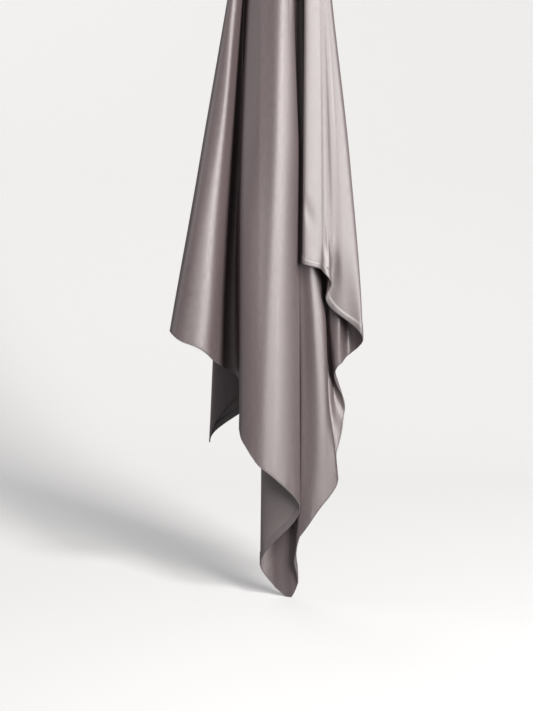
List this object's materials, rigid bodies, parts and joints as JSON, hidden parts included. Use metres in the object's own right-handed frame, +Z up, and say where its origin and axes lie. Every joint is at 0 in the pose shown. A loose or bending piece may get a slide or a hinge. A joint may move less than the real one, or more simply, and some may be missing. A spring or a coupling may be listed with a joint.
{
  "type": "square satin head scarf",
  "caption": "Square satin head scarf with narrow turned hems, held by a gathered stretch of one side and hanging in soft folds to a point.",
  "frame": {"origin": "middle of the gathered stretch where the scarf is held, near the top", "axes": "+Z up, -Y towards the front with the widest central fold, +X to the right of that front; the lowest corner hangs straight below the origin"},
  "size_m": [0.2523, 0.1135, 1.1341],
  "materials": {
    "satin": "taupe satin, glossy face and dull back",
    "turned_hem": "taupe satin, turned and stitched"
  },
  "bodies": {
    "root": {"satin_square": "satin", "hem_held_edge": "turned_hem", "hem_inner_side": "turned_hem", "hem_right_edge": "turned_hem", "hem_left_edge": "turned_hem", "hem_tail_back": "turned_hem", "hem_free_side": "turned_hem"}
  },
  "joints": []
}
